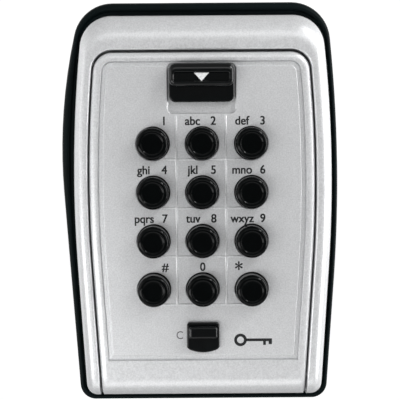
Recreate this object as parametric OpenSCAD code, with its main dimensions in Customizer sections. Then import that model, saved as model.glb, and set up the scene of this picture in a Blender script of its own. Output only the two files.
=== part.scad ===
// Wall-mounted key safe with a push-button lock. The wall is the plane y = 0 and the door faces -Y.
// The origin is the centre of the four wall-screw holes. "Depth" means the distance from the wall.

/* [Outline] */
// Half the width of the front frame at its widest
frame_half_w = 47.2; // [46:0.1:50]
// Height at which the frame is widest
wide_z = 5; // [2:1:8]
// Radius of the bulging sides
side_r = 466; // [440:2:500]
// Slope of the straight lower sides
side_slope = 0.0605; // [0.055:0.0005:0.065]
// Top of the front frame
frame_top = 66.5; // [66:0.1:68]
// Bottom of the front frame and of the door
frame_bottom = -72; // [-73:0.1:-71.5]
// Corner radius at the top of the front frame
frame_top_r = 11.6; // [9:0.1:13]
// Corner radius at the bottom of the front frame
frame_bottom_r = 4.4; // [3:0.1:6]

/* [Depths from the wall] */
// Front face of the door and of the frame
face_d = 45; // [45:0.1:46]
// Outer edge of the frame, where its sloping face starts
bezel_edge_d = 37.3; // [36:0.1:39]
// Front of the rear casting
casting_d = 31; // [31:0.1:31.5]
// Thickness of the door seat, the flange inside the frame
flange_t = 3; // [2.5:0.1:3.1]
// Back of the door panel
panel_back_d = 41.6; // [41.4:0.1:41.8]
// Front of the guide plate, where the button springs stand
guide_d = 33.9; // [33.8:0.1:34]
// Thickness of the guide plate
guide_t = 1.5; // [1:0.1:1.6]
// Back of the mechanism case
case_back_d = 26.2; // [26:0.1:26.4]
// Thickness of the walls of the mechanism case
case_t = 1.5; // [1.2:0.1:1.5]
// Thickness of the rear cover
cover_t = 1.6; // [1.2:0.1:1.6]

/* [Casting and sleeve] */
// Wall thickness of the rear casting
casting_wall = 3; // [2.5:0.1:3.2]
// Step from the edge of the frame in to the rear casting
casting_step = 2; // [1.5:0.1:2.2]
// Half the distance between wall screws, across
wall_hole_x = 22; // [16:1:26]
// Half the distance between wall screws, up and down
wall_hole_z = 42; // [30:1:46]
// Radius of the wall-screw holes
wall_hole_r = 2.6; // [2:0.1:3]
// Width of the weather sleeve's right half at its widest
sleeve_right_w = 50.15; // [50:0.05:51]
// Width of the weather sleeve's fuller left half at its widest
sleeve_left_w = 51.75; // [51:0.05:53]
// Height at which the left half is widest
sleeve_left_z = 16; // [14:1:18]
// Top of the sleeve
sleeve_top = 71.8; // [71:0.1:73]
// Bottom of the sleeve
sleeve_bottom = -75.4; // [-77:0.1:-75]
// Corner radius at the top of the sleeve
sleeve_top_r = 14.5; // [12:0.1:16]
// Corner radius at the bottom of the sleeve
sleeve_bottom_r = 5.8; // [4:0.1:7]
// Front edge of the sleeve's lip
sleeve_front_d = 34; // [33:0.1:35]

/* [Door] */
// Half the width of the door at its widest
door_half_w = 40.5; // [40:0.1:40.6]
// Top edge of the door
door_top = 53; // [52.8:0.1:53.2]
// Corner radius at the top of the door
door_top_r = 6.8; // [5:0.1:8]
// Gap between door and frame at the sides
side_gap = 0.65; // [0.4:0.05:0.8]
// Gap between door and frame at the top
top_gap = 1; // [0.8:0.05:1.2]
// Wall thickness of the door shell
door_wall = 2.4; // [2:0.1:2.6]
// Radius of the rounded lower edge, with the hinge pin at its centre
barrel_r = 7.6; // [7.4:0.1:7.7]
// Radius of the hinge pin
pin_r = 1.5; // [1.2:0.1:1.8]
// Width of the plain margin outside the channel
margin_w = 3.1; // [2.6:0.1:3.4]
// Width of the channel round the keypad panel
channel_w = 1.8; // [1.4:0.1:2.2]

/* [Keypad] */
// Distance between columns of buttons
col_pitch = 17.6; // [17:0.1:18]
// Distance between rows of buttons
row_pitch = 17.5; // [17:0.1:17.8]
// Height of the top row
row_top = 20.6; // [20:0.1:21]
// Radius of a button
button_r = 5.85; // [5.6:0.05:6.4]
// Depth of a button's crown
button_d = 50.5; // [49.5:0.1:51]
// Radius of a code post
post_r = 2.2; // [2:0.05:2.3]

/* [Sliders] */
// Travel of the open slider and the bolt
latch_travel = 3.8; // [3.5:0.1:3.8]
// Travel of the clear slider
clear_travel = 2.8; // [2:0.1:2.8]
// Half the width of the open slider
latch_half_w = 11.6; // [10:0.1:11.8]
// Top of the open slider
latch_top = 49.1; // [49:0.1:49.2]
// Bottom of the open slider
latch_bottom = 35.3; // [35.3:0.1:35.5]
// Half the width of the clear slider
clear_half_w = 5.9; // [5:0.1:6.4]

/* [Hidden] */
$fn = 64;
eps = 0.01;
slide_gap = 0.2;
run_gap = 0.1;

corner_steps = 7;
side_steps = 14;
frame_side = [wide_z, side_r, side_slope];
casting_bottom_r = 3;
face_side_inset = 4.2;
face_top_inset = 6.8;
face_top_r = 8;
face_bottom_r = 3;
sleeve_right_side = [wide_z - 1, 520, 0.0655];
sleeve_left_side = [sleeve_left_z, 190, 0.069];

flange_d = casting_d + flange_t;
door_back_d = flange_d + 0.5;
pivot_z = frame_bottom + barrel_r;
pivot_d = face_d - barrel_r;
pivot_half_w = door_half_w - draw_in(pivot_z, frame_side);
pin_half_l = pivot_half_w + 4;
barrel_gap = 0.3;
panel_d = face_d - 0.3;
channel_d = face_d - 0.8;
channel_top = door_top - margin_w;
channel_bottom = frame_bottom + 14;
channel_r = 3.9;
panel_top = channel_top - channel_w - 0.2;
panel_bottom = channel_bottom + channel_w - 0.2;
panel_r = 2.4;
pillar_r = 3;
barrel_slots = [[-31.5, -14], [-8, 8], [14, 31.5]];
beyond = 60;

rows = [for (i = [0:3]) row_top - i * row_pitch];
cols = [-col_pitch, 0, col_pitch];
flange_r = button_r + 1.2;
flange_back_d = panel_back_d - 1.3;

case_half_w = door_half_w - 2.6;
case_top = 50;
case_bottom = -54;
case_top_r = 5;
case_bottom_r = 3;
seat_gap = 0.8;
case_front_d = guide_d - guide_t;
plate_d = case_back_d + case_t + slide_gap;
plate_t = 1.5;
plate_half_w = 27.5;
plate_top = 46;
plate_bottom = -43;
spring_x = 25;
bolt_half_w = 12;
bolt_top = 55;
strike_half_w = 18.5;
strike_top = 59.6;
strike_t = 1.4;
head_d = case_back_d - 1.3;
cover_d = case_back_d - cover_t;

bezel_screw_at = [[-38.6, 57], [38.6, 57], [-39.4, -50], [39.4, -50]];
cover_screw_at = [[-33, 44], [33, 44], [-31.5, -50.5], [31.5, -50.5]];
strike_screw_at = [[-15.4, 56.8], [15.4, 56.8]];
boss_r = 3.3;
screw_r = 1.5;
screw_head_r = 2.4;
small_screw_r = 1.2;

pocket_half_w = latch_half_w + 0.65;
pocket_top = latch_top + 0.2;
pocket_bottom = latch_bottom - latch_travel - 0.2;
pocket_r = 2;
pocket_d = face_d - 1.8;
knob_r = 1.8;
stem_half_w = 3.8;
stem_bottom = latch_bottom + latch_travel + 0.5;
stem_top = 46.2;
grip_bottom = 40.65;
grip_d = 50.9;
window_bottom = 42.5;
window_top = 45.7;
window_half_w = latch_half_w - 1.7;
window_d = grip_d - 0.9;

clear_top = -43.8;
clear_bottom = -54.8;
clear_arc_r = 12;
clear_corner_r = 1.2;
ridge_top = -44.9;
ridge_bottom = -49.4;
clear_stem_half_w = 2.4;
clear_stem_top = -46.9;
clear_stem_bottom = -50.3;
reset_d = guide_d + slide_gap;
reset_t = 1.2;
finger_x = col_pitch / 2;
finger_half_w = 1.3;
finger_top = 25;
bar_top = -45.4;
bar_bottom = -53;
lug_bottom = 33.4;

// ---- Shared shapes ----

// How far a side has drawn in at height z: an arc, then a straight taper below it
function draw_in(z, side) =
    let (knee = side[0] - side[2] * side[1])
    z > knee ? pow(z - side[0], 2) / (2 * side[1])
             : side[2] * side[2] * side[1] / 2 + (knee - z) * side[2];

// Points of a corner arc between two angles, or the corner itself when its radius is nought
function corner(centre, r, from, to) =
    r > 0 ? [for (i = [0:corner_steps])
                let (a = from + (to - from) * i / corner_steps) centre + r * [cos(a), sin(a)]]
          : [centre];

// Right-hand half of an upright outline, from the bottom to the top
function right_half(half_w, top, bottom, top_r, bottom_r, side) =
    let (
        low_a = atan(side[2]),
        high_a = atan((top - top_r - side[0]) / (side[1] - top_r)),
        low_z = bottom + bottom_r * (1 - sin(low_a)),
        high_z = top - top_r * (1 - sin(high_a)),
        low_c = [half_w - draw_in(low_z, side) - bottom_r * cos(low_a), bottom + bottom_r],
        high_c = [half_w - draw_in(high_z, side) - top_r * cos(high_a), top - top_r]
    )
    concat(
        corner(low_c, bottom_r, -90, -low_a),
        [for (i = [1:side_steps - 1])
            let (z = low_z + (high_z - low_z) * i / side_steps) [half_w - draw_in(z, side), z]],
        corner(high_c, top_r, high_a, 90)
    );

// The same half turned over, from the top to the bottom
function mirrored(half) = [for (i = [len(half) - 1:-1:0]) [-half[i][0], half[i][1]]];

module outline(half_w, top, bottom, top_r, bottom_r) {
    right = right_half(half_w, top, bottom, top_r, bottom_r, frame_side);
    polygon(concat(right, mirrored(right)));
}

module frame_outline(grow) outline(frame_half_w + grow, frame_top + grow, frame_bottom - grow,
                                   frame_top_r + grow, frame_bottom_r + grow);

module casting_outline(grow) outline(frame_half_w - casting_step + grow, frame_top - casting_step + grow,
                                     frame_bottom - grow, frame_top_r - casting_step + grow,
                                     casting_bottom_r);

module door_outline(grow, top, bottom, top_r) outline(door_half_w + grow, top, bottom, top_r, 0);

module sleeve_outline() polygon(concat(
    right_half(sleeve_right_w, sleeve_top, sleeve_bottom, sleeve_top_r, sleeve_bottom_r, sleeve_right_side),
    mirrored(right_half(sleeve_left_w, sleeve_top, sleeve_bottom, sleeve_top_r, sleeve_bottom_r,
                        sleeve_left_side))
));

module case_outline(grow) outline(case_half_w + grow, case_top + grow, case_bottom - grow, case_top_r,
                                  case_bottom_r);

// A plate parallel to the wall, between two depths
module slab(back_d, front_d)
    translate([0, -back_d, 0]) rotate([90, 0, 0]) linear_extrude(front_d - back_d) children();

module box(x0, x1, back_d, front_d, z0, z1)
    translate([x0, -front_d, z0]) cube([x1 - x0, front_d - back_d, z1 - z0]);

module peg(at, back_d, front_d, r)
    translate([at[0], -back_d, at[1]]) rotate([90, 0, 0]) cylinder(h = front_d - back_d, r = r);

module pegs(places, back_d, front_d, r) for (at = places) peg(at, back_d, front_d, r);

// A bar along X round the hinge axis
module hinge_bar(x0, x1, r)
    translate([x0, -pivot_d, pivot_z]) rotate([0, 90, 0]) cylinder(h = x1 - x0, r = r);

// A flat shape with rounded corners, between two heights
module rounded_box(half_w, z0, z1, r) {
    corner_x = half_w - r;
    translate([-corner_x, z0]) square([2 * corner_x, z1 - z0]);
    translate([-half_w, z0 + r]) square([2 * half_w, z1 - z0 - 2 * r]);
    for (x = [-corner_x, corner_x], z = [z0 + r, z1 - r]) translate([x, z]) circle(r);
}

// A coil spring: a round wire swept along a helix, rising from z = 0
module coil(length, mean_r, wire_r, turns, turn_steps = 9, wire_sides = 5) {
    count = turns * turn_steps;
    rise = length - 2 * wire_r - 0.1;
    points = [for (i = [0:count], j = [0:wire_sides - 1])
        let (a = 360 * i / turn_steps, b = 360 * j / wire_sides, r = mean_r + wire_r * cos(b))
        [r * cos(a), r * sin(a), wire_r + 0.05 + rise * i / count + wire_r * sin(b)]];
    sides = [for (i = [0:count - 1], j = [0:wire_sides - 1], half = [0, 1])
        let (k = (j + 1) % wire_sides, p = i * wire_sides, q = p + wire_sides)
        half == 0 ? [p + j, q + j, q + k] : [p + j, q + k, p + k]];
    ends = [[for (j = [0:wire_sides - 1]) j],
            [for (j = [wire_sides - 1:-1:0]) count * wire_sides + j]];
    polyhedron(points, concat(sides, ends), convexity = 6);
}

module screw(at, back_d, front_d, r, head_r, head_t) {
    difference() {
        union() {
            peg(at, back_d, back_d + head_t, head_r);
            peg(at, back_d + head_t - eps, front_d, r);
        }
        box(at[0] - 0.4, at[0] + 0.4, back_d - eps, back_d + head_t / 2,
            at[1] - 0.7 * head_r, at[1] + 0.7 * head_r);
    }
}

// The space that the door's rounded lower edge turns in
module barrel_space() hinge_bar(-pivot_half_w - side_gap, pivot_half_w + side_gap, barrel_r + barrel_gap);

// The space behind the front face, with the lower front edge rounded about the hinge axis
module rounded_bottom(back_d) {
    box(-beyond, beyond, back_d, face_d, pivot_z, frame_top);
    box(-beyond, beyond, back_d, pivot_d, frame_bottom, pivot_z + eps);
    hinge_bar(-beyond, beyond, barrel_r);
}

// ---- Body ----

module rear_casting() color("silver") difference() {
    slab(0, casting_d) casting_outline(0);
    difference() {
        slab(casting_wall, casting_d + 1) casting_outline(-casting_wall);
        pegs(bezel_screw_at, 0, casting_d, boss_r);
    }
    pegs(bezel_screw_at, -1, casting_d + 1, screw_r + 0.3);
    pegs(bezel_screw_at, -1, casting_wall + 0.2, screw_head_r + 0.2);
    for (x = [-wall_hole_x, wall_hole_x], z = [-wall_hole_z, wall_hole_z])
        peg([x, z], -1, casting_wall + 1, wall_hole_r);
    barrel_space();
}

module front_bezel() color("gainsboro") difference() {
    intersection() {
        union() {
            slab(casting_d, bezel_edge_d) frame_outline(0);
            hull() {
                slab(bezel_edge_d - eps, bezel_edge_d) frame_outline(0);
                slab(face_d - eps, face_d)
                    outline(frame_half_w - face_side_inset, frame_top - face_top_inset, frame_bottom,
                            face_top_r, face_bottom_r);
            }
        }
        rounded_bottom(casting_d);
    }
    slab(flange_d, face_d + 1)
        door_outline(side_gap, door_top + top_gap, frame_bottom - 10, door_top_r + side_gap);
    slab(casting_d - 1, flange_d + 1)
        outline(case_half_w + seat_gap, case_top + 2 * seat_gap, frame_bottom - 10, case_top_r, 0);
    barrel_space();
    hinge_bar(-pin_half_l - 0.1, pin_half_l + 0.1, pin_r + 0.02);
    pegs(bezel_screw_at, casting_d - 1, flange_d, screw_r + 0.02);
    pegs(strike_screw_at, casting_d - 1, flange_d, screw_r + 0.02);
}

module bezel_screws() color("dimgray")
    for (at = bezel_screw_at) screw(at, 0.8, flange_d - 0.3, screw_r, screw_head_r, 2.3);

module weather_sleeve() color("#1b2023") difference() {
    slab(0.5, sleeve_front_d) sleeve_outline();
    slab(0, casting_d) casting_outline(0);
    slab(casting_d, sleeve_front_d + 1) frame_outline(side_gap);
}

module strike_plate() color("lightsteelblue") difference() {
    box(-strike_half_w, strike_half_w, casting_d - strike_t, casting_d, case_top + 2 * seat_gap, strike_top);
    pegs(strike_screw_at, 0, casting_d + 1, screw_r + 0.1);
}

module strike_screws() color("dimgray")
    for (at = strike_screw_at) screw(at, casting_d - strike_t - 1.3, flange_d - 0.3, screw_r, screw_head_r, 1.3);

module hinge_pin() color("lightgray") hinge_bar(-pin_half_l, pin_half_l, pin_r);

// ---- Door ----

module door_shell() color("gainsboro") difference() {
    intersection() {
        slab(pivot_d - barrel_r, face_d) door_outline(0, door_top, frame_bottom, door_top_r);
        union() {
            box(-beyond, beyond, door_back_d, face_d, pivot_z, frame_top);
            hinge_bar(-beyond, beyond, barrel_r);
        }
    }
    difference() {
        slab(door_back_d - 1, panel_back_d)
            door_outline(-door_wall, door_top - door_wall, pivot_z + barrel_r + 0.4, door_top_r - door_wall);
        pegs(cover_screw_at, guide_d, face_d, pillar_r);
    }
    pegs(cover_screw_at, guide_d - 1, guide_d + 5.6, small_screw_r + 0.02);
    slab(channel_d, face_d + 1)
        difference() {
            door_outline(-margin_w, channel_top, channel_bottom, channel_r);
            door_outline(-margin_w - channel_w, panel_top, panel_bottom, panel_r);
        }
    slab(panel_d, face_d + 1)
        door_outline(-margin_w - channel_w - eps, panel_top, panel_bottom, panel_r);
    for (x = cols, z = rows) peg([x, z], panel_back_d - 1, face_d + 1, button_r + slide_gap);
    slab(pocket_d, face_d + 1) rounded_box(pocket_half_w, pocket_bottom, pocket_top, pocket_r);
    box(-stem_half_w - slide_gap, stem_half_w + slide_gap, panel_back_d - 1, face_d,
        stem_bottom - latch_travel - 0.1, stem_top + 0.2);
    box(-clear_stem_half_w - slide_gap, clear_stem_half_w + slide_gap, panel_back_d - 1, face_d,
        clear_stem_bottom - clear_travel - 0.1, clear_stem_top + 0.1);
    hinge_bar(-beyond, beyond, pin_r + 0.08);
    for (x = barrel_slots) {
        hinge_bar(x[0], x[1], barrel_r - door_wall);
        box(x[0], x[1], pivot_d - barrel_r - 1, pivot_d, pivot_z - 3, pivot_z + 3);
    }
}

module guide_plate() color("lightsteelblue") difference() {
    union() {
        slab(case_front_d, guide_d) case_outline(0);
        box(-finger_x - 1.4, -finger_x + 1.4, guide_d - eps, guide_d + 3.2, lug_bottom, lug_bottom + 1.4);
    }
    for (x = cols, z = rows) peg([x, z], 0, guide_d + 1, post_r + run_gap);
    box(-stem_half_w - slide_gap, stem_half_w + slide_gap, case_front_d - 1, guide_d + 1,
        stem_bottom - latch_travel - 0.1, stem_top + 0.2);
    pegs(cover_screw_at, 0, guide_d + 1, small_screw_r + 0.15);
}

module mechanism_case() color("darkgray") difference() {
    slab(case_back_d, case_front_d) case_outline(0);
    difference() {
        slab(case_back_d + case_t, case_front_d + 1) case_outline(-case_t);
        pegs(cover_screw_at, case_back_d, case_front_d, pillar_r);
    }
    for (x = cols, z = rows) peg([x, z], 0, case_back_d + case_t + 1, post_r + run_gap);
    box(-bolt_half_w - slide_gap, bolt_half_w + slide_gap, case_back_d + case_t,
        plate_d + plate_t + 0.1, case_top - case_t - 1, case_top + 1);
    pegs(cover_screw_at, 0, case_front_d + 1, small_screw_r + 0.15);
}

module rear_cover() color("silver") difference() {
    slab(cover_d, case_back_d) case_outline(0);
    for (x = cols, z = rows) peg([x, z], 0, case_back_d + 1, post_r + 1);
    pegs(cover_screw_at, 0, case_back_d + 1, small_screw_r + 0.15);
}

module cover_screws() color("dimgray")
    for (at = cover_screw_at) screw(at, cover_d - 0.9, guide_d + 5, small_screw_r, 2.2, 0.9);

// ---- Sliders ----

module latch_knob() color("#202224") difference() {
    union() {
        slab(pocket_d + 0.1, face_d + 0.9)
            rounded_box(latch_half_w, latch_bottom, latch_top, knob_r);
        slab(face_d, grip_d) rounded_box(latch_half_w, grip_bottom, latch_top, knob_r);
        box(-stem_half_w, stem_half_w, plate_d + plate_t, face_d, stem_bottom, stem_top);
    }
    box(-window_half_w, window_half_w, window_d, grip_d + 1, window_bottom, window_top);
}

module latch_arrow() color("white") slab(window_d, window_d + 0.3)
    polygon([[-2.65, window_top - 0.2], [2.65, window_top - 0.2], [0, window_bottom + 0.1]]);

module latch_plate() color("lightsteelblue") difference() {
    union() {
        box(-plate_half_w, plate_half_w, plate_d, plate_d + plate_t, plate_bottom, plate_top);
        box(-bolt_half_w, bolt_half_w, plate_d, plate_d + plate_t, plate_top - 1, bolt_top);
        for (x = [-spring_x, spring_x])
            box(x - 2.5, x + 2.5, plate_d, plate_d + 3.8, plate_bottom, plate_bottom + 1);
    }
    for (x = cols, z = rows) box(x - post_r - slide_gap, x + post_r + slide_gap, 0, face_d,
                                 z - post_r - 0.25, z + post_r + latch_travel + 0.25);
}

module latch_springs() color("gray")
    for (x = [-spring_x, spring_x]) translate([x, -plate_d - 2, case_bottom + case_t])
        coil(plate_bottom - case_bottom - case_t, 1.5, 0.35, 6);

module clear_knob() color("#202224") {
    slab(panel_d + 0.2, panel_d + 1.9) intersection() {
        rounded_box(clear_half_w, clear_bottom, clear_top, clear_corner_r);
        translate([0, clear_bottom + clear_arc_r]) circle(clear_arc_r);
    }
    slab(panel_d + 1, panel_d + 4.4) rounded_box(clear_half_w - 0.7, ridge_bottom, ridge_top, clear_corner_r);
    box(-clear_stem_half_w, clear_stem_half_w, reset_d + reset_t, panel_d + 1, clear_stem_bottom,
        clear_stem_top);
}

module reset_bar() color("lightsteelblue") {
    box(-finger_x - finger_half_w, finger_x + finger_half_w, reset_d, reset_d + reset_t, bar_bottom, bar_top);
    for (x = [-finger_x, finger_x])
        box(x - finger_half_w, x + finger_half_w, reset_d, reset_d + reset_t, bar_bottom, finger_top);
}

module clear_spring() color("gray")
    translate([-finger_x, -reset_d - 1.5, finger_top]) coil(lug_bottom - finger_top, 1.15, 0.3, 6);

// ---- Keypad ----

// A button with its retaining flange, bored from the back for its code post
module button(x, z) color("#161819")
    translate([x, 0, z]) rotate([90, 0, 0]) rotate_extrude() polygon([
        [0, panel_d], [post_r + run_gap, panel_d - 0.5], [post_r + run_gap, flange_back_d],
        [flange_r, flange_back_d], [flange_r, flange_back_d + 1.1], [button_r, flange_back_d + 1.1],
        [button_r, button_d - 1.2], [button_r - 0.9, button_d - 0.2], [button_r - 1.7, button_d],
        [button_r - 3, button_d - 0.4], [0, button_d - 0.7]
    ]);

// A code post: a shaft with a half-round gate at the latch plate and a slotted arrow head
module code_post(x, z) color("goldenrod") difference() {
    union() {
        peg([x, z], head_d, case_back_d - 0.2, post_r + 0.8);
        peg([x, z], case_back_d - 0.2 - eps, panel_d - 0.7, post_r);
    }
    box(x + 0.7, x + 4, plate_d - 0.2, plate_d + plate_t + 0.4, z - 4, z + 4);
    box(x - 0.45, x + 0.45, head_d - 1, head_d + 0.5, z - 2.3, z + 2.3);
    slab(head_d - 1, head_d + 0.5)
        polygon([[x - 1.3, z + 0.9], [x + 1.3, z + 0.9], [x, z + 2.6]]);
}

module button_spring(x, z) color("gray")
    translate([x, -guide_d, z]) rotate([90, 0, 0]) coil(flange_back_d - guide_d, 4.4, 0.4, 3);

rear_casting();
front_bezel();
bezel_screws();
weather_sleeve();
strike_plate();
strike_screws();
hinge_pin();
door_shell();
guide_plate();
mechanism_case();
rear_cover();
cover_screws();
latch_knob();
latch_arrow();
latch_plate();
latch_springs();
clear_knob();
reset_bar();
clear_spring();
button(cols[0], rows[0]);  // button_1
button(cols[1], rows[0]);  // button_2
button(cols[2], rows[0]);  // button_3
button(cols[0], rows[1]);  // button_4
button(cols[1], rows[1]);  // button_5
button(cols[2], rows[1]);  // button_6
button(cols[0], rows[2]);  // button_7
button(cols[1], rows[2]);  // button_8
button(cols[2], rows[2]);  // button_9
button(cols[0], rows[3]);  // button_hash
button(cols[1], rows[3]);  // button_0
button(cols[2], rows[3]);  // button_star
code_post(cols[0], rows[0]);  // code_post_1
code_post(cols[1], rows[0]);  // code_post_2
code_post(cols[2], rows[0]);  // code_post_3
code_post(cols[0], rows[1]);  // code_post_4
code_post(cols[1], rows[1]);  // code_post_5
code_post(cols[2], rows[1]);  // code_post_6
code_post(cols[0], rows[2]);  // code_post_7
code_post(cols[1], rows[2]);  // code_post_8
code_post(cols[2], rows[2]);  // code_post_9
code_post(cols[0], rows[3]);  // code_post_hash
code_post(cols[1], rows[3]);  // code_post_0
code_post(cols[2], rows[3]);  // code_post_star
button_spring(cols[0], rows[0]);  // spring_1
button_spring(cols[1], rows[0]);  // spring_2
button_spring(cols[2], rows[0]);  // spring_3
button_spring(cols[0], rows[1]);  // spring_4
button_spring(cols[1], rows[1]);  // spring_5
button_spring(cols[2], rows[1]);  // spring_6
button_spring(cols[0], rows[2]);  // spring_7
button_spring(cols[1], rows[2]);  // spring_8
button_spring(cols[2], rows[2]);  // spring_9
button_spring(cols[0], rows[3]);  // spring_hash
button_spring(cols[1], rows[3]);  // spring_0
button_spring(cols[2], rows[3]);  // spring_star
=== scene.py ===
from math import atan, cos, pi, radians, sin, sqrt, tau

import bmesh
import bpy
from mathutils import Matrix, Vector


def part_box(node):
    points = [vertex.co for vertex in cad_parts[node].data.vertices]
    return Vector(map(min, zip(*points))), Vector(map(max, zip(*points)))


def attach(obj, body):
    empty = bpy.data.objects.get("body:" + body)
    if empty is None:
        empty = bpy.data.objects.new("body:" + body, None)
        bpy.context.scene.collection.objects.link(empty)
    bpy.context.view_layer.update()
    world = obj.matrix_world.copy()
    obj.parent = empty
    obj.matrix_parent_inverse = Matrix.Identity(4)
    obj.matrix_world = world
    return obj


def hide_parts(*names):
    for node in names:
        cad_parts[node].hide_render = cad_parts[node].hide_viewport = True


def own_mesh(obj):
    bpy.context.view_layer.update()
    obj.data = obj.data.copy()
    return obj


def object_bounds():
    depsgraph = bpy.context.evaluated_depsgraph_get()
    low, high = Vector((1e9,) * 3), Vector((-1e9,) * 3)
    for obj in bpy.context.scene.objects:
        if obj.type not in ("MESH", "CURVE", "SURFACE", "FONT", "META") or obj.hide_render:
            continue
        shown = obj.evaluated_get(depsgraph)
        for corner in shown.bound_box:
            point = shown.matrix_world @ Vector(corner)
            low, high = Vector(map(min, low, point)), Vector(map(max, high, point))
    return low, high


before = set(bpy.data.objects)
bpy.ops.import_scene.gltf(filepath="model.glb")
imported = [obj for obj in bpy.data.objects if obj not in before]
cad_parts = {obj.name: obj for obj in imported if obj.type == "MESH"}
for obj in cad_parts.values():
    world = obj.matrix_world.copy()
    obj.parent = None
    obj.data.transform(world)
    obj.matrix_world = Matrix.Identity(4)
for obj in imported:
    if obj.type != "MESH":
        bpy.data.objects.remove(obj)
CAD_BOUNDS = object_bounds()

# Lengths below are millimetres. "Depth" is the distance from the wall, so a point is (x, depth, z).
MM = 0.001
NAMES = ["1", "2", "3", "4", "5", "6", "7", "8", "9", "hash", "0", "star"]


class Span:
    """A CAD node's box in millimetres, with depths from the wall."""

    def __init__(self, node):
        low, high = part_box(node)
        self.left, self.right = low.x / MM, high.x / MM
        self.back, self.front = -high.y / MM, -low.y / MM
        self.bottom, self.top = low.z / MM, high.z / MM
        self.x = (self.left + self.right) / 2
        self.depth = (self.back + self.front) / 2
        self.z = (self.bottom + self.top) / 2


BEZEL = Span("front_bezel")
CASTING = Span("rear_casting")
SLEEVE = Span("weather_sleeve")
DOOR = Span("door_shell")
CASE = Span("mechanism_case")
PIN = Span("hinge_pin")
LATCH = Span("latch_knob")
ARROW = Span("latch_arrow")
CLEAR = Span("clear_knob")
RESET = Span("reset_bar")
LATCH_PLATE = Span("latch_plate")
KEYS = {name: Span("button_" + name) for name in NAMES}

# ---- Driving sizes shared with the CAD model ----

FRAME_SIDE = (5, 466, 0.0605)          # height of the widest point, side radius, slope of the taper
SLEEVE_RIGHT_SIDE = (4, 520, 0.0655)
SLEEVE_LEFT_SIDE = (16, 190, 0.069)
FRAME_CORNERS = (11.6, 4.4)            # corner radii at the top and at the bottom
CASTING_CORNERS = (9.6, 3)
SLEEVE_CORNERS = (14.5, 5.8)
FACE = DOOR.front
PANEL = FACE - 0.3
PANEL_BACK = FACE - 3.4
BARREL_R = PIN.z - DOOR.bottom
SIDE_GAP = 0.65
LEFT_TUCK = 0.6        # how far the sleeve laps in over the left edge of the frame, a black lap that stands in for shade on the frame's steep left side wall
FLANGE_W = 1.2         # how far a button's flange stands out from its side
BUTTON_R = (KEYS["1"].right - KEYS["1"].left) / 2 - FLANGE_W
LATCH_TRAVEL = 3.8
KNOB_BOTTOM = 35.3     # the slider's lower edge, and the lower edge of the ridge across its upper part
KNOB_RIDGE = 40.65
POCKET_BOTTOM = KNOB_BOTTOM - LATCH_TRAVEL - 0.3
LATCH_STEM = (3.8, KNOB_BOTTOM + 4.3, 46.2)      # half-width, bottom and top of a slider's stem
LATCH_SLOT = (4, KNOB_BOTTOM + 0.2, 46.5)        # and of the slot that it runs in
CLEAR_STEM = (2.4, -50.3, -46.9)
CLEAR_SLOT = (2.6, -53.2, -46.8)
SQUARE = 0.02          # the radius of a corner that is square to the eye
BEYOND = 60            # half-length of a cutter that runs out past both sides

CORNER_STEPS = 12
SIDE_STEPS = 36
ROUND_STEPS = 64
BLOCK_CORNER_STEPS = 8
BLOCK_EDGE_STEPS = 16


# ---- Outlines: each half runs from the bottom to the top ----

def draw_in(z, side):
    """How far a side has drawn in at height z: an arc, then a straight taper below it."""
    wide_z, radius, slope = side
    knee = wide_z - slope * radius
    if z > knee:
        return (z - wide_z) ** 2 / (2 * radius)
    return slope * slope * radius / 2 + (knee - z) * slope


def arc(x, z, r, start, end, steps=CORNER_STEPS):
    turns = [start + (end - start) * i / steps for i in range(steps + 1)]
    return [(x + r * cos(a), z + r * sin(a)) for a in turns]


def right_half(half_w, top, bottom, top_r, bottom_r, side=FRAME_SIDE):
    """The lower corner, the side, with its points closer together near the bottom, and the upper corner."""
    low_a = atan(side[2])
    high_a = atan((top - top_r - side[0]) / (side[1] - top_r))
    low_z = bottom + bottom_r * (1 - sin(low_a))
    high_z = top - top_r * (1 - sin(high_a))
    low_x = half_w - draw_in(low_z, side) - bottom_r * cos(low_a)
    high_x = half_w - draw_in(high_z, side) - top_r * cos(high_a)
    points = arc(low_x, bottom + bottom_r, bottom_r, -pi / 2, -low_a)
    for i in range(1, SIDE_STEPS):
        z = low_z + (high_z - low_z) * (i / SIDE_STEPS) ** 2
        points.append((half_w - draw_in(z, side), z))
    return points + arc(high_x, top - top_r, top_r, high_a, pi / 2)


def circle(x, z, r, steps):
    return [(x + r * cos(tau * i / steps), z + r * sin(tau * i / steps)) for i in range(steps)]


def whole(right, left=None):
    """A closed outline of a right half and a left one, given as if on the right, or else the same."""
    return right + [(-x, z) for x, z in reversed(left or right)]


def at_depth(outline, depth):
    return [(x, depth, z) for x, z in outline]


def frame_outline(grow):
    top_r, bottom_r = FRAME_CORNERS
    sizes = (BEZEL.top + grow, BEZEL.bottom - grow, top_r + grow, bottom_r + grow)
    return whole(right_half(BEZEL.right + grow, *sizes), right_half(BEZEL.right - LEFT_TUCK + grow, *sizes))


def casting_outline(grow):
    top_r, bottom_r = CASTING_CORNERS
    sizes = (CASTING.top + grow, BEZEL.bottom - grow, top_r + grow, bottom_r)
    return whole(right_half(CASTING.right + grow, *sizes))


def door_outline(inset, top, bottom, top_r, bottom_r=SQUARE):
    return whole(right_half(DOOR.right - inset, top, bottom, top_r, bottom_r))


def sleeve_outline(inset):
    top_r, bottom_r = SLEEVE_CORNERS
    sizes = (SLEEVE.top - inset, SLEEVE.bottom + inset, top_r - inset, bottom_r - inset)
    return whole(right_half(SLEEVE.right - inset, *sizes, SLEEVE_RIGHT_SIDE),
                 right_half(-SLEEVE.left - inset, *sizes, SLEEVE_LEFT_SIDE))


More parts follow.
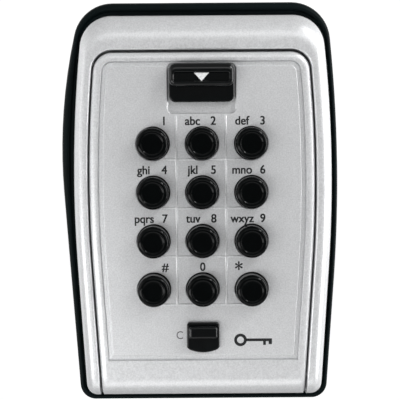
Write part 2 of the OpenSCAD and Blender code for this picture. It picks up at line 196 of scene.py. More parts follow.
def rounded_rect(half_w, bottom, top, r, bottom_sag=0):
    """On the middle line. bottom_sag lifts the lower edge's ends, less and less up to sag_height above it."""
    sag_height = 4
    low, high = bottom + r, top - r
    points = []
    for side, z, start in ((1, high, 0), (-1, high, pi / 2), (-1, low, pi), (1, low, 3 * pi / 2)):
        points += arc(side * (half_w - r), z, r, start, start + pi / 2, BLOCK_CORNER_STEPS)
        if start == pi:
            shares = [2 * i / BLOCK_EDGE_STEPS - 1 for i in range(1, BLOCK_EDGE_STEPS)]
            points += [((half_w - r) * share, bottom) for share in shares]
    if bottom_sag:
        points = [(x, z + bottom_sag * (x / half_w) ** 2 * max(0, 1 - (z - bottom) / sag_height))
                  for x, z in points]
    return points


# ---- Mesh building ----

TOUCHING = 1e-7       # metres between points that are one point, as built and after the cuts
MERGE = 2e-6


def place(point):
    x, depth, z = point
    return Vector((x, -depth, z)) * MM


def new_object(name, bm):
    bmesh.ops.remove_doubles(bm, verts=bm.verts, dist=TOUCHING)
    bmesh.ops.dissolve_degenerate(bm, edges=bm.edges, dist=TOUCHING)
    bmesh.ops.recalc_face_normals(bm, faces=bm.faces)
    mesh = bpy.data.meshes.new(name)
    bm.to_mesh(mesh)
    bm.free()
    piece = bpy.data.objects.new(name, mesh)
    bpy.context.scene.collection.objects.link(piece)
    return piece


def add_loft(bm, rings, loop=True, tube=False):
    """A closed solid through rings of points; loop closes each ring, tube joins the last to the first."""
    grid = [[bm.verts.new(place(point)) for point in ring] for ring in rings]
    count = len(rings[0])
    pairs = list(zip(grid, grid[1:]))
    if tube:
        pairs.append((grid[-1], grid[0]))
    for low, high in pairs:
        for i in range(count if loop else count - 1):
            j = (i + 1) % count
            bm.faces.new((low[i], low[j], high[j], high[i]))
    if not tube:
        bm.faces.new(list(reversed(grid[0])))
        bm.faces.new(grid[-1])
    if not loop:
        bm.faces.new([ring[0] for ring in grid])
        bm.faces.new([ring[-1] for ring in reversed(grid)])


def solid(name, build):
    """An object of the solids that build(bm) makes."""
    bm = bmesh.new()
    build(bm)
    return new_object(name, bm)


def loft(name, rings, **how):
    return solid(name, lambda bm: add_loft(bm, rings, **how))


def add_revolved(bm, profile, x, z, steps=ROUND_STEPS):
    """A profile of (radius, depth) pairs turned about an axis square to the wall; the ends are closed."""
    add_loft(bm, [at_depth(circle(x, z, r, steps), depth) for r, depth in profile])


def add_hinge_bar(bm, profile, steps=96):
    """A profile of (radius, x) pairs turned about the hinge axis; the ends are closed."""
    add_loft(bm, [[(x, depth, z) for depth, z in circle(PIN.depth, PIN.z, r, steps)] for r, x in profile])


def add_box(bm, x0, x1, back, front, z0, z1):
    corners = [(x0, z0), (x1, z0), (x1, z1), (x0, z1)]
    add_loft(bm, [at_depth(corners, back), at_depth(corners, front)])


def add_post(bm, shape, back, front):
    """A block on the middle line; shape has its half-width, bottom and top."""
    half_w, bottom, top = shape
    add_box(bm, -half_w, half_w, back, front, bottom, top)


def apply(piece):
    """Bakes the modifiers into the mesh."""
    graph = bpy.context.evaluated_depsgraph_get()
    mesh = bpy.data.meshes.new_from_object(piece.evaluated_get(graph))
    piece.modifiers.clear()
    piece.data = mesh


def combine(piece, tool, operation):
    """Cuts, joins or trims a piece with a tool, which is used up."""
    step = piece.modifiers.new("step", "BOOLEAN")
    step.object = tool
    step.operation = operation
    step.solver = "EXACT"
    apply(piece)
    bpy.data.objects.remove(tool)


def carve(piece, build, operation="DIFFERENCE"):
    """Cuts or joins a piece with the solids that build(bm) makes."""
    combine(piece, solid("tool", build), operation)


def finish_surface(piece, material, sharp=radians(32)):
    """Cleans the mesh, sets smooth shading with weighted normals, and gives the material."""
    bm = bmesh.new()
    bm.from_mesh(piece.data)
    bmesh.ops.remove_doubles(bm, verts=bm.verts, dist=MERGE)
    bmesh.ops.dissolve_degenerate(bm, edges=bm.edges, dist=MERGE)
    bm.to_mesh(piece.data)
    bm.free()
    mesh = piece.data
    mesh.polygons.foreach_set("use_smooth", [True] * len(mesh.polygons))
    mesh.set_sharp_from_angle(angle=sharp)
    weighted = piece.modifiers.new("weighted normals", "WEIGHTED_NORMAL")
    weighted.keep_sharp = True
    weighted.weight = 100
    mesh.materials.clear()
    mesh.materials.append(material)


def install(piece, body, slot, *nodes):
    """Puts a finished piece on its body and hides the CAD nodes that it stands in for; slot is not used."""
    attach(piece, body)
    if nodes:
        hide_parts(*nodes)


# ---- Materials ----

class Shader:
    """A Principled material with a few helpers for procedural detail in object space."""

    def __init__(self, name, **inputs):
        self.material = bpy.data.materials.new(name)
        self.material.use_nodes = True
        self.tree = self.material.node_tree
        self.principled = self.tree.nodes["Principled BSDF"]
        self.coords = self.tree.nodes.new("ShaderNodeTexCoord").outputs["Object"]
        for key, value in inputs.items():
            self.principled.inputs[key.replace("_", " ")].default_value = value

    def node(self, kind, **settings):
        node = self.tree.nodes.new(kind)
        for key, value in settings.items():
            setattr(node, key, value)
        return node

    def link(self, source, target):
        self.tree.links.new(source, target)

    def noise(self, scale, detail=3, stretch=(1, 1, 1)):
        mapping = self.node("ShaderNodeMapping")
        mapping.inputs["Scale"].default_value = stretch
        self.link(self.coords, mapping.inputs["Vector"])
        noise = self.node("ShaderNodeTexNoise")
        noise.inputs["Scale"].default_value = scale
        noise.inputs["Detail"].default_value = detail
        self.link(mapping.outputs["Vector"], noise.inputs["Vector"])
        return noise.outputs["Fac"]

    def flakes(self, scale):
        cells = self.node("ShaderNodeTexVoronoi")
        cells.inputs["Scale"].default_value = scale
        self.link(self.coords, cells.inputs["Vector"])
        return cells.outputs["Color"]

    def spread(self, source, low, high, start=0.3, end=0.7):
        """Maps a 0-1 pattern to a range of values."""
        ramp = self.node("ShaderNodeMapRange")
        for key, value in (("From Min", start), ("From Max", end), ("To Min", low), ("To Max", high)):
            ramp.inputs[key].default_value = value
        self.link(source, ramp.inputs["Value"])
        return ramp.outputs["Result"]

    def multiply(self, a, b):
        node = self.node("ShaderNodeMath", operation="MULTIPLY")
        self.link(a, node.inputs[0])
        self.link(b, node.inputs[1])
        return node.outputs["Value"]

    def colour(self, base, *factors):
        """The base colour, darkened or lightened by the product of the patterns."""
        factor = factors[0]
        for other in factors[1:]:
            factor = self.multiply(factor, other)
        scale = self.node("ShaderNodeVectorMath", operation="SCALE")
        scale.inputs[0].default_value = base
        self.link(factor, scale.inputs["Scale"])
        self.link(scale.outputs["Vector"], self.principled.inputs["Base Color"])

    def roughness(self, source):
        self.link(source, self.principled.inputs["Roughness"])

    def bump(self, height, distance, strength):
        bump = self.node("ShaderNodeBump")
        bump.inputs["Distance"].default_value = distance
        bump.inputs["Strength"].default_value = strength
        self.link(height, bump.inputs["Height"])
        self.link(bump.outputs["Normal"], self.principled.inputs["Normal"])


def metallic_paint(name, base, metallic, rough):
    """Sprayed metallic paint: fine flakes, a soft mottle and a slight orange-peel."""
    paint = Shader(name, Metallic=metallic)
    grain = paint.noise(1900, 5)
    mottle = paint.noise(420, 2)
    flakes = paint.flakes(5200)
    paint.colour(base, paint.spread(grain, 0.9, 1.1), paint.spread(mottle, 0.98, 1.02),
                 paint.spread(flakes, 0.96, 1.05, 0, 1))
    paint.roughness(paint.spread(grain, rough - 0.05, rough + 0.07))
    paint.bump(grain, 0.00003, 0.45)
    return paint.material


def moulded_rubber():
    """Matt black elastomer with a fine moulded grain and a little dust bloom."""
    rubber = Shader("black_rubber", IOR=1.18)
    grain = rubber.noise(3200, 5)
    bloom = rubber.noise(60, 4)
    base = (0.0016, 0.0048, 0.0054)
    rubber.colour(base, rubber.spread(bloom, 0.75, 1.35), rubber.spread(grain, 0.8, 1.2))
    rubber.roughness(rubber.spread(bloom, 0.42, 0.56))
    rubber.bump(grain, 0.00004, 0.6)
    return rubber.material


def moulded_plastic(name, base, rough, ior, grain_depth):
    """Plastic with a fine grain, shinier and duller where hands have been."""
    plastic = Shader(name, IOR=ior)
    grain = plastic.noise(4200, 3)
    handling = plastic.noise(260, 5)
    plastic.colour(base, plastic.spread(handling, 0.8, 1.25))
    plastic.roughness(plastic.spread(handling, rough - 0.04, rough + 0.08))
    plastic.bump(grain, grain_depth, 0.5)
    return plastic.material


def printed_ink(name, base):
    """Half-matt ink of a slightly uneven thickness."""
    ink = Shader(name, Roughness=0.5)
    ink.colour(base, ink.spread(ink.noise(1500, 3), 0.85, 1.15))
    return ink.material


def worked_metal(name, base, rough, stretch=(1, 1, 1), scale=900, depth=0.00002):
    """Bare metal with tool or rolling marks along one direction, and faint stains."""
    metal = Shader(name, Metallic=1.0)
    marks = metal.noise(scale, 4, stretch)
    stains = metal.noise(90, 4)
    metal.colour(base, metal.spread(marks, 0.88, 1.1), metal.spread(stains, 0.88, 1.08))
    metal.roughness(metal.spread(marks, rough - 0.06, rough + 0.1))
    metal.bump(marks, depth, 0.5)
    return metal.material


SILVER_PAINT = metallic_paint("silver_paint", (0.73, 0.737, 0.747), 0.42, 0.35)
BODY_PAINT = metallic_paint("body_paint", (0.46, 0.465, 0.475), 0.5, 0.48)
CAST_ZINC = worked_metal("cast_zinc", (0.42, 0.43, 0.44), 0.5, scale=1400, depth=0.00006)
BLACK_RUBBER = moulded_rubber()
BUTTON_PLASTIC = moulded_plastic("button_plastic", (0.0001, 0.0006, 0.0007), 0.1, 1.24, 0.000003)
SLIDER_PLASTIC = moulded_plastic("slider_plastic", (0.0001, 0.0008, 0.001), 0.11, 1.4, 0.000004)
BLACK_INK = printed_ink("black_ink", (0.004, 0.005, 0.006))
GREY_INK = printed_ink("grey_ink", (0.1, 0.1, 0.105))
WHITE_INK = printed_ink("white_ink", (0.82, 0.83, 0.83))
PLATED_STEEL = worked_metal("plated_steel", (0.62, 0.63, 0.63), 0.3, (1, 1, 0.03), 2600, 0.000008)
BRIGHT_STEEL = worked_metal("bright_steel", (0.7, 0.7, 0.7), 0.22, (0.05, 1, 1), 2400)
DARK_SCREW = worked_metal("dark_screw", (0.1, 0.1, 0.105), 0.38, scale=2400)
BRASS = worked_metal("brass", (0.72, 0.5, 0.2), 0.26, (1, 0.05, 1), 2400)
SPRING_STEEL = worked_metal("spring_steel", (0.5, 0.5, 0.5), 0.3, scale=3000)


# ---- Front bezel ----

def chin(points):
    """Turns the lower front edge back about the hinge axis, as a quarter round."""
    turned = []
    for x, depth, z in points:
        drop = min(max(0, PIN.z - z) / BARREL_R, 1)
        if depth > PIN.depth:
            depth = PIN.depth + (depth - PIN.depth) * sqrt(1 - drop * drop)
        turned.append((x, depth, z))
    return turned


SIDE_ROUND = 4.4       # how far the bezel's front is rounded in, at the sides and at the top
TOP_ROUND = 9.6


def bezel_ring(side_inset, top_inset, top_r, bottom_r, depth):
    sizes = (BEZEL.top - top_inset, BEZEL.bottom, top_r, bottom_r)
    # the frame is narrower at the left, where the sleeve's black lap stands in for shade on the side wall
    tuck = LEFT_TUCK * max(0, 1 - side_inset / SIDE_ROUND)
    return chin(at_depth(whole(right_half(BEZEL.right - side_inset, *sizes),
                               right_half(BEZEL.right - side_inset - tuck, *sizes)), depth))


def front_bezel():
    """Rings run up the outside, round the front, over the opening's lip, and down to the case's seat."""
    top_r, bottom_r = FRAME_CORNERS
    top_shrink, bottom_shrink = 3, 3.3
    edge = 37.3
    rings = [bezel_ring(0, 0, top_r, bottom_r, CASTING.front), bezel_ring(0, 0, top_r, bottom_r, edge - 1)]
    round_steps = 12
    for i in range(round_steps + 1):
        a = pi / 2 * i / round_steps
        run = 1 - cos(a)
        rings.append(bezel_ring(SIDE_ROUND * run, TOP_ROUND * run, top_r - top_shrink * run,
                                bottom_r - bottom_shrink * run, edge + (FACE - edge) * sin(a)))
    gap_side = BEZEL.right - DOOR.right - SIDE_GAP
    gap_top = BEZEL.top - DOOR.top - 1
    opening_r, lip_r, lip_foot_r = 7.45, 0.65, 0.03
    lip_steps = 6
    for i in range(lip_steps + 1):
        a = pi / 2 * i / lip_steps
        back = lip_r * (1 - sin(a))
        rings.append(bezel_ring(gap_side - back, gap_top - back, opening_r + back, lip_foot_r,
                                FACE - lip_r * (1 - cos(a))))
    flange = CASTING.front + 3
    seat_r = 5
    seat_side = BEZEL.right - (CASE.right + 0.8)
    seat_top = BEZEL.top - CASE.top - 1.6
    rings += [bezel_ring(gap_side, gap_top, opening_r, SQUARE, flange),
              bezel_ring(seat_side, seat_top, seat_r, SQUARE, flange),
              bezel_ring(seat_side, seat_top, seat_r, SQUARE, CASTING.front)]
    bezel = loft("front_frame", rings, loop=False, tube=True)
    space_x = DOOR.right - draw_in(PIN.z, FRAME_SIDE) + SIDE_GAP
    space_r = BARREL_R + 0.3
    bore_x = PIN.right + 0.1
    bore_r = 1.52
    hinge_space = [(bore_r, -bore_x), (bore_r, -space_x), (space_r, -space_x),
                   (space_r, space_x), (bore_r, space_x), (bore_r, bore_x)]
    carve(bezel, lambda bm: add_hinge_bar(bm, hinge_space))
    finish_surface(bezel, SILVER_PAINT)
    install(bezel, "housing", "silver_paint", "front_bezel")


# ---- Door ----

CHANNEL_IN = 3.1       # the channel's outer edge, in from the door's edge
CHANNEL_FOOT = 14      # and up from the door's bottom
# The channel from the rim to the panel, as (way in, rise) pairs: a narrow groove, a flat floor and a slope.
CHANNEL = [(-0.2, 0), (-0.08, -0.04), (0, -0.15), (0.05, -1.1), (0.1, -1.2), (0.3, -1.2), (0.36, -1.1),
           (0.42, -0.85), (0.55, -0.8), (1.5, -0.8), (1.6, -0.77), (1.86, -0.4), (1.94, -0.33), (2.05, -0.3)]
LINE_W = 0.45          # half-width of the panel's raised lines
LINE_RISE = 0.3
LINE_DROP = 5.65       # from a button's centre to the line below it
COLUMN_LINES = (-9.25, 8.5)


def door_rings():
    """From the back edge, round the soft shoulder and the chin, through the channel, to the panel."""
    corner_r = 6.8
    tighten = 0.8          # how much a corner's radius drops for each millimetre inwards
    shoulder_in, shoulder_back = 2.3, 1.5
    chin_steps, shoulder_steps = 22, 16
    creep = 0.02           # keeps the chin's rings apart above the shoulder
    rings = [at_depth(door_outline(0, DOOR.top, DOOR.bottom, corner_r), DOOR.back)]
    for i in range(chin_steps + 1):
        turn = pi / 2 * i / chin_steps
        a = pi / 2 * min(1, i / shoulder_steps)
        inset = shoulder_in * (1 - cos(a)) + creep * max(0, i - shoulder_steps)
        bottom = PIN.z - BARREL_R * cos(turn)
        ring = door_outline(inset, DOOR.top - inset, bottom, corner_r - tighten * inset)
        rings.append(chin(at_depth(ring, FACE - shoulder_back * (1 - sin(a)))))
    channel_top, channel_r = DOOR.top - CHANNEL_IN, 3.9
    channel_bottom, channel_foot_r = DOOR.bottom + CHANNEL_FOOT, 0.05
    widen = 1.05           # the channel is a little wider along the bottom
    for inset, rise in CHANNEL:
        ring = door_outline(CHANNEL_IN + inset, channel_top - inset, channel_bottom + widen * inset,
                            channel_r - tighten * inset, channel_foot_r)
        rings.append(at_depth(ring, FACE + rise))
    return rings


def button_hole(r):
    """A profile of (radius, depth) pairs for a hole with a softened mouth."""
    mouth = 0.28
    profile = [(r, PANEL_BACK - 1)]
    profile += [(r + mouth * (1 - cos(a)), PANEL - mouth + mouth * sin(a))
                for a in (pi / 12 * i for i in range(6))]
    return profile + [(r + mouth, PANEL), (r + mouth, PANEL + 1)]


def pocket_rings():
    """The slider's pocket, from its floor to a softened mouth."""
    half_w, top, r = LATCH.right + 0.65, LATCH.top + 0.2, 2.0
    floor, foot, mouth = FACE - 1.8, 0.3, 0.3

    def outline(grow, depth):
        return at_depth(rounded_rect(half_w + grow, POCKET_BOTTOM - grow, top + grow, r + grow), depth)

    rings = [outline(-foot, floor), outline(0, floor + foot)]
    for i in range(6):
        a = pi / 10 * i
        rings.append(outline(mouth * (1 - cos(a)), PANEL - mouth + mouth * sin(a)))
    return rings + [outline(mouth, FACE + 1)]


def add_line(bm, x0, x1, z0, z1):
    """A low raised line with a rounded top between two points of the panel."""
    sunk = -0.1
    section = [(-LINE_W, sunk), (-LINE_W, 0)]
    section += [(-LINE_W * cos(a), LINE_RISE * sin(a)) for a in (pi * i / 8 for i in range(1, 8))]
    section += [(LINE_W, 0), (LINE_W, sunk)]
    if x0 == x1:
        rings = [[(x0 + across, PANEL + rise, z) for across, rise in section] for z in (z0, z1)]
    else:
        rings = [[(x, PANEL + rise, z0 + across) for across, rise in section] for x in (x0, x1)]
    add_loft(bm, rings)


def trim_to_body(door):
    """Leaves the shell above the hinge axis, from its back edge forwards, and the hinge barrel."""
    barrel_r = BARREL_R + 0.02
    back = DOOR.back + 4.7
    keep = solid("keep", lambda bm: add_box(bm, -BEYOND, BEYOND, back, FACE + 1, PIN.z, DOOR.top + 1))
    carve(keep, lambda bm: add_hinge_bar(bm, [(barrel_r, -BEYOND), (barrel_r, BEYOND)]), "UNION")
    combine(door, keep, "INTERSECT")


def hollow_out(door):
    """Opens the shell from behind, up to the back of the panel."""
    wall, corner_r = 2.4, 4.4
    inner = door_outline(wall, DOOR.top - wall, PIN.z + BARREL_R + 0.4, corner_r)
    carve(door, lambda bm: add_loft(bm, [at_depth(inner, DOOR.back), at_depth(inner, PANEL_BACK)]))


def rule_lines(door):
    """The raised lines between the columns of buttons and below the rows."""
    rows = [KEYS[name].z - LINE_DROP for name in ("2", "5", "8", "0")]
    top = POCKET_BOTTOM - 0.6
    reach = KEYS["3"].x
    carve(door, lambda bm: [add_line(bm, x, x, rows[-1], top) for x in COLUMN_LINES], "UNION")
    carve(door, lambda bm: [add_line(bm, -reach, reach, z, z) for z in rows], "UNION")


def cut_openings(door):
    """The button holes and the slider's pocket, then the slots for the sliders' stems."""
    hole = button_hole(BUTTON_R + 0.2)

    def holes_and_pocket(bm):
        for key in KEYS.values():
            add_revolved(bm, hole, key.x, key.z)
        add_loft(bm, pocket_rings())

    carve(door, holes_and_pocket)
    carve(door, lambda bm: [add_post(bm, slot, PANEL_BACK - 1, FACE) for slot in (LATCH_SLOT, CLEAR_SLOT)])


def cut_hinge(door):
    """The gaps between the knuckles at the back of the barrel, and the pin's bore."""
    gaps = ((-31.5, -14), (-8, 8), (14, 31.5))
    back, front = PIN.depth - BARREL_R - 1, PIN.depth - 1.4
    bore_r = PIN.top - PIN.z + 0.08
    carve(door, lambda bm: [add_box(bm, x0, x1, back, front, PIN.z - 5, PIN.z + 5) for x0, x1 in gaps])
    carve(door, lambda bm: add_hinge_bar(bm, [(bore_r, -BEYOND), (bore_r, BEYOND)]))


def door_shell():
    door = loft("door_front", door_rings())
    for step in (trim_to_body, hollow_out, rule_lines, cut_openings, cut_hinge):
        step(door)
    finish_surface(door, SILVER_PAINT)
    install(door, "door", "silver_paint", "door_shell")


# ---- Weather sleeve ----

SLEEVE_BACK = [(1.3, 0), (0.5, 0.25), (0.12, 0.8), (0, 1.7)]       # the rounded back edge: (inset, depth)
# The front edge, as (share of the way in, rise) pairs from the outside to the frame: a round lip and a step.
SLEEVE_LIP = [(0, -3.6), (0.03, -2.3), (0.09, -1.3), (0.18, -0.6), (0.3, -0.15), (0.42, 0), (0.55, -0.05),
              (0.62, -0.35), (0.66, -1.1), (0.71, -1.75), (0.78, -1.95), (0.97, -1.95), (1, -2.1), (1, -2.95)]


def weather_sleeve():
    outer = sleeve_outline(0)
    inner = frame_outline(SIDE_GAP)
    body = casting_outline(0.05)
    rings = [at_depth(sleeve_outline(inset), SLEEVE.back + depth) for inset, depth in SLEEVE_BACK]
    for share, rise in SLEEVE_LIP:
        rings.append([(xo + (xi - xo) * share, SLEEVE.front + rise, zo + (zi - zo) * share)
                      for (xo, zo), (xi, zi) in zip(outer, inner)])
    lip_foot = SLEEVE.front + SLEEVE_LIP[-1][1]
    rings += [at_depth(body, lip_foot), at_depth(body, SLEEVE.back)]
    sleeve = loft("weather_sleeve_skin", rings, tube=True)
    finish_surface(sleeve, BLACK_RUBBER, radians(50))
    install(sleeve, "housing", "black_rubber", "weather_sleeve")


# ---- Buttons ----

BORE_R = 2.3           # the spring's bore in the back of a button


def button_profile(key):
    """(radius, depth) from the bore at the back, round the flange, up the side and into the dished top."""
    flange_r = (key.right - key.left) / 2
    flange_front, chamfer = key.back + 1.1, 0.15
    top = key.front
    crown_r, crown_back = 4.15, 1.5
    side_r = BUTTON_R - 0.12
    crown_steps = 12
    profile = [(BORE_R, key.back), (flange_r - chamfer, key.back), (flange_r, key.back + chamfer),
               (flange_r, flange_front - chamfer), (flange_r - chamfer, flange_front),
               (BUTTON_R, flange_front), (BUTTON_R, FACE - 0.4), (side_r, top - crown_back)]
    profile += [(crown_r + (side_r - crown_r) * cos(a), top - crown_back + crown_back * sin(a))
                for a in (pi / 2 * i / crown_steps for i in range(1, crown_steps + 1))]
    dish = [(0.12, 0.02), (0.22, 0.1), (0.36, 0.2), (0.6, 0.26), (1.5, 0.3), (3.55, 0.34)]
    return profile + [(crown_r - inset, top - fall) for inset, fall in dish]


def buttons():
    cap_steps, bore_steps = 72, 40
    for name, key in KEYS.items():
        profile = button_profile(key)
        bore = [(BORE_R, key.back - 1), (BORE_R, PANEL - 0.4)]
        button = solid("key_cap_" + name, lambda bm: add_revolved(bm, profile, key.x, key.z, cap_steps))
        carve(button, lambda bm: add_revolved(bm, bore, key.x, key.z, bore_steps))
        finish_surface(button, BUTTON_PLASTIC, radians(40))
        install(button, "push_" + name, "black_plastic", "button_" + name)


# ---- Sliders ----

def tablet(half_w, bottom, top, r, back, front, edge, sag=0, draft=0, brow=1):
    """Rings of a moulded block with a rounded front edge, which falls back brow times as far at the top."""
    edge_steps, least_r = 6, 0.15
    rings = [at_depth(rounded_rect(half_w, bottom, top, r, sag), back)]
    for i in range(edge_steps + 1):
        a = pi / 2 * i / edge_steps
        inset = draft + edge * (1 - cos(a))
        corner_r = max(r - inset, least_r)
        shape = rounded_rect(half_w - inset, bottom + inset, top - brow * inset, corner_r, sag)
        rings.append(at_depth(shape, front - edge * (1 - sin(a))))
    return rings


def window_rings():
    """The sunk window round the arrow, from its floor to its softened mouth."""
    half_w, low, high, r = LATCH.right - 1.7, ARROW.bottom - 0.1, ARROW.top + 0.2, 1.0
    floor, foot, mouth_back = ARROW.back, 0.2, LATCH.front - 0.25
    steps = [(-foot, floor), (0, floor + foot), (0, mouth_back)]
    steps += [(grow, mouth_back + rise) for grow, rise in ((0.05, 0.1), (0.17, 0.2), (0.35, 0.27), (0.35, 1))]
    return [at_depth(rounded_rect(half_w + grow, low - grow, high + grow, r + grow), depth)
            for grow, depth in steps]


def latch_knob():
    """A flat pad with a ridge across its upper part, the arrow's window in the ridge, and the stem."""
    half_w, sliver = LATCH.right, 0.02
    pad = tablet(half_w, KNOB_BOTTOM, LATCH.top, 2.4, FACE - 1.6, FACE + 0.9, 0.5)
    ridge = tablet(half_w - sliver, KNOB_RIDGE, LATCH.top - sliver, 2.6, FACE - 0.5, LATCH.front, 1.5,
                   draft=0.1, brow=1.9)
    knob = loft("open_slider", pad)
    carve(knob, lambda bm: add_loft(bm, ridge), "UNION")
    carve(knob, lambda bm: add_loft(bm, window_rings()))
    carve(knob, lambda bm: add_post(bm, LATCH_STEM, LATCH_PLATE.front - 2.3, FACE - 1), "UNION")
    finish_surface(knob, SLIDER_PLASTIC)
    install(knob, "latch", "black_plastic", "latch_knob")


def clear_knob():
    """A flat pad with a bowed lower edge, a ridge across its upper part, and the stem."""
    half_w = CLEAR.right
    pad = tablet(half_w, CLEAR.bottom, CLEAR.top, 1.2, PANEL + 0.2, PANEL + 1.9, 0.5, sag=1.5)
    ridge = tablet(half_w - 0.7, -49.4, CLEAR.top - 1.1, 1.0, PANEL + 1, CLEAR.front, 0.9, draft=0.1)
    knob = loft("clear_slider_cap", pad)
    carve(knob, lambda bm: add_loft(bm, ridge), "UNION")
    carve(knob, lambda bm: add_post(bm, CLEAR_STEM, RESET.front, PANEL + 1), "UNION")
    finish_surface(knob, SLIDER_PLASTIC)
    install(knob, "clear_slider", "black_plastic", "clear_knob")


# ---- Springs ----

def add_coil(bm, foot, length, upright, mean_r, wire_r, turns, steps=20, sides=8):
    """A round wire wound about a line that runs from foot, up the wall if upright, else out of it."""
    x, depth, z = foot
    rings = []
    for i in range(turns * steps + 1):
        turn = tau * i / steps
        climb = wire_r + (length - 2 * wire_r) * i / (turns * steps)
        ring = []
        for j in range(sides):
            a = tau * j / sides
            r = mean_r + wire_r * cos(a)
            across, aside, along = r * cos(turn), r * sin(turn), climb + wire_r * sin(a)
            if upright:
                ring.append((x + across, depth + aside, z + along))
            else:
                ring.append((x + across, depth + along, z + aside))
        rings.append(ring)
    add_loft(bm, rings)


def spring(node, upright, wire_r, turns, aside=(0,)):
    """Coils in the space of a CAD node; aside has each coil's x offset."""
    span = Span(node)
    if upright:
        width, length = span.front - span.back, span.top - span.bottom
        depth, z = span.depth, span.bottom
    else:
        width, length = span.right - span.left, span.front - span.back
        depth, z = span.back, span.z
    feet = [(span.x + offset, depth, z) for offset in aside]
    mean_r = width / 2 - wire_r
    wire = solid(node + "_wire",
                 lambda bm: [add_coil(bm, foot, length, upright, mean_r, wire_r, turns) for foot in feet])
    wire.data.polygons.foreach_set("use_smooth", [True] * len(wire.data.polygons))
    wire.data.materials.append(SPRING_STEEL)
    install(wire, "door", "spring_steel", node)
    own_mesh(wire)


# ---- Printed marks ----

TEXT_H = 4.3
CONDENSED = 0.93       # the letters' width against the font's own
INK = 0.025            # half the ink's thickness
BOLD = (0.1, 0.065)    # how far a label's copies are moved, sideways and up or down
COPY_RISE = 0.002      # how far each copy lies in front of the last
LABEL_RISE = 6.65      # from a button's centre to the foot of its label
LETTERS_ASIDE = -3.3   # from a button's centre to the middle of its letters, its digit and its star
DIGIT_ASIDE = 4.1
STAR_ASIDE = -4.6
STAR_H = 1.6 * TEXT_H
STAR_DROP = 1.7
LETTERS = {"2": "abc", "3": "def", "4": "ghi", "5": "jkl", "6": "mno", "7": "pqrs", "8": "tuv", "9": "wxyz"}


def add_text(bm, text, x, z, size=TEXT_H, rise=0):
    """Letters of a plain sans face, centred at x, standing on z."""
    curve = bpy.data.curves.new("text", "FONT")
    curve.body = text
    curve.size = size * MM
    curve.align_x = "CENTER"
    curve.extrude = INK * MM
    curve.resolution_u = 6
    holder = bpy.data.objects.new("text", curve)
    bpy.context.scene.collection.objects.link(holder)
    mesh = bpy.data.meshes.new_from_object(holder.evaluated_get(bpy.context.evaluated_depsgraph_get()))
    stand = Matrix.Rotation(pi / 2, 4, "X") @ Matrix.Diagonal((CONDENSED, 1, 1, 1))
    mesh.transform(Matrix.Translation(place((x, PANEL + rise, z))) @ stand)
    bm.from_mesh(mesh)
    bpy.data.objects.remove(holder)
    bpy.data.curves.remove(curve)
    bpy.data.meshes.remove(mesh)


def marks(name, build, material):
    piece = solid(name, build)
    piece.data.materials.append(material)
    install(piece, "door", "black_plastic")


def keypad_marks(bm):
    """Each label is four thin copies, moved a little apart, which gives its strokes their weight."""
    side, up = BOLD
    copies = [(dx, dz) for dx in (-side, side) for dz in (-up, up)]
    for name, key in KEYS.items():
        for i, (dx, dz) in enumerate(copies):
            x, z, rise = key.x + dx, key.z + LABEL_RISE + dz, i * COPY_RISE
            if name in LETTERS:
                add_text(bm, LETTERS[name], x + LETTERS_ASIDE, z, rise=rise)
            if name == "star":
                add_text(bm, "*", x + STAR_ASIDE, z - STAR_DROP, STAR_H, rise)
            elif name == "0":
                add_text(bm, name, x, z, rise=rise)
            else:
                add_text(bm, "#" if name == "hash" else name, x + DIGIT_ASIDE, z, rise=rise)


def clear_mark(bm):
    x, z, height = -8.5, -50.1, 4.1
    add_text(bm, "C", x, z, height)


def key_sign(bm):
    """A plain key: a ring for the bow, and a shaft with two teeth."""
    x, z = 13.5, -50.6
    back, front = PANEL - 0.02, PANEL + 0.03
    outer_r, inner_r, steps = 2.3, 1.25, 40
    section = ((back, outer_r), (front, outer_r), (front, inner_r), (back, inner_r))
    add_loft(bm, [at_depth(circle(x, z, r, steps), depth) for depth, r in section], tube=True)
    shaft = [(2.1, -0.5), (8.2, -0.5), (8.2, -1.9), (9.2, -1.9), (9.2, -0.5), (10.2, -0.5), (10.2, -1.6),
             (11.4, -1.6), (11.4, 0.5), (2.1, 0.5)]
    outline = [(x + dx, z + dz) for dx, dz in shaft]
    add_loft(bm, [at_depth(outline, back), at_depth(outline, front)])


# ---- Build ----

front_bezel()
door_shell()
weather_sleeve()
buttons()
latch_knob()
clear_knob()
spring("latch_springs", upright=True, wire_r=0.35, turns=6, aside=(-25, 25))
spring("clear_spring", upright=True, wire_r=0.3, turns=6)
for name in NAMES:
    spring("spring_" + name, upright=False, wire_r=0.4, turns=3)
marks("keypad_marks", keypad_marks, BLACK_INK)
marks("clear_mark", clear_mark, GREY_INK)
marks("key_sign", key_sign, BLACK_INK)

CAD_MATERIALS = {
    BODY_PAINT: ["rear_casting"],
    CAST_ZINC: ["mechanism_case"],
    PLATED_STEEL: ["strike_plate", "guide_plate", "rear_cover", "latch_plate", "reset_bar"],
    BRIGHT_STEEL: ["hinge_pin"],
    DARK_SCREW: ["bezel_screws", "strike_screws", "cover_screws"],
    WHITE_INK: ["latch_arrow"],
    BRASS: ["code_post_" + name for name in NAMES],
}
for material, nodes in CAD_MATERIALS.items():
    for node in nodes:
        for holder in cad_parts[node].material_slots:
            holder.material = material

# ---- Studio ----

# Lengths and places from here on are metres, in the frame's own axes. Levels are shares of white.
FLOOR_DROP = 0.16
FLOOR_HALF = 6
WORLD_STRENGTH = 1.06
ROOM_LEVEL = 0.18
OVERHEAD_LEVEL = 0.4


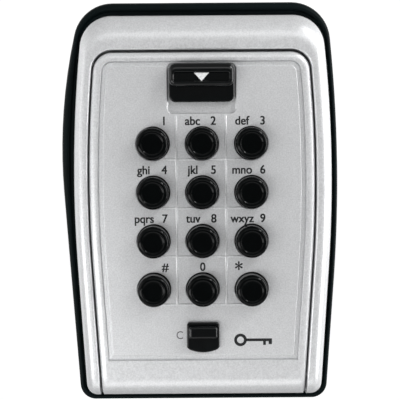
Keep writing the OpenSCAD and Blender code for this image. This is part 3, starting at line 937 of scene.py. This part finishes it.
def pale_floor():
    """Painted shade: light grey under the object and in front of it, and white behind it, where it also
    glows.
    """
    square = {"x_segments": 1, "y_segments": 1, "size": FLOOR_HALF}
    floor = solid("floor", lambda bm: bmesh.ops.create_grid(bm, **square))
    floor.location.z = CAD_BOUNDS[0][2] - FLOOR_DROP
    surface = Shader("floor_painted_shade", Roughness=0.9)
    axes = surface.node("ShaderNodeSeparateXYZ")
    surface.link(surface.coords, axes.inputs["Vector"])
    # painted shade: the floor's colour is darker under and in front of the object
    surface.colour((0.9, 0.9, 0.9), surface.spread(axes.outputs["Y"], 0.38, 1, 0.12, 0.48))
    surface.principled.inputs["Emission Color"].default_value = (1, 1, 1, 1)
    glow = surface.spread(axes.outputs["Y"], 0, 0.5, 0.3, 0.6)
    surface.link(glow, surface.principled.inputs["Emission Strength"])
    floor.data.materials.append(surface.material)


def softbox(name, location, size, power, target=(0, 0, 0)):
    """An area light of the given power in watts, which looks at the target."""
    light = bpy.data.lights.new(name, "AREA")
    light.shape = "RECTANGLE"
    light.size, light.size_y = size
    light.energy = power
    holder = bpy.data.objects.new(name, light)
    holder.location = location
    holder.rotation_euler = (Vector(target) - Vector(location)).to_track_quat("-Z", "Y").to_euler()
    bpy.context.scene.collection.objects.link(holder)


def studio_world():
    """White all round, dimmer overhead, and darker in front of the object, where its face looks."""
    world = bpy.data.worlds.new("studio")
    world.use_nodes = True
    tree = world.node_tree
    coords = tree.nodes.new("ShaderNodeTexCoord")
    axes = tree.nodes.new("ShaderNodeSeparateXYZ")
    tree.links.new(coords.outputs["Generated"], axes.inputs["Vector"])

    def fade(axis, start, end, level):
        ramp = tree.nodes.new("ShaderNodeMapRange")
        for key, value in (("From Min", start), ("From Max", end), ("To Min", 1), ("To Max", level)):
            ramp.inputs[key].default_value = value
        tree.links.new(axes.outputs[axis], ramp.inputs["Value"])
        return ramp.outputs["Result"]

    product = tree.nodes.new("ShaderNodeMath")
    product.operation = "MULTIPLY"
    tree.links.new(fade("Y", -0.6, -0.93, ROOM_LEVEL), product.inputs[0])
    tree.links.new(fade("Z", 0.25, 0.75, OVERHEAD_LEVEL), product.inputs[1])
    background = tree.nodes["Background"]
    background.inputs["Strength"].default_value = WORLD_STRENGTH
    tree.links.new(product.outputs["Value"], background.inputs["Color"])
    bpy.context.scene.world = world


def photo_camera():
    """Square on to the object and a little above it, as in the photo."""
    camera = bpy.data.cameras.new("camera")
    camera.lens = 94.7
    camera.clip_start = 0.01
    holder = bpy.data.objects.new("camera", camera)
    elevation, tilt, distance = radians(4.5), radians(-0.4), 0.377
    target = Vector((-0.00082, -FACE * MM, 0.00038))
    away = Vector((0, -cos(elevation), sin(elevation)))
    holder.location = target + distance * away
    look = (-away).to_track_quat("-Z", "Y")
    roll = Matrix.Rotation(tilt, 4, "Z")
    holder.rotation_euler = (look.to_matrix().to_4x4() @ roll).to_euler()
    bpy.context.scene.collection.objects.link(holder)
    bpy.context.scene.camera = holder


pale_floor()
studio_world()
softbox("right_strip", (0.54, -0.13, 0.06), (0.2, 0.6), 2.5)
softbox("left_strip", (-0.5, -0.16, 0.0), (0.1, 0.5), 0.2)
softbox("low_front", (-0.34, -0.43, -0.26), (0.5, 0.4), 2.8)
softbox("high_front", (0.05, -0.45, 0.27), (0.5, 0.1), 0.26)
softbox("corner", (0.34, -0.3, 0.36), (0.1, 0.1), 0.8)
softbox("under", (-0.03, -0.17, -0.2), (0.4, 0.1), 0.14, (0, -0.045, -0.06))
photo_camera()
bpy.context.scene.view_settings.view_transform = "Standard"
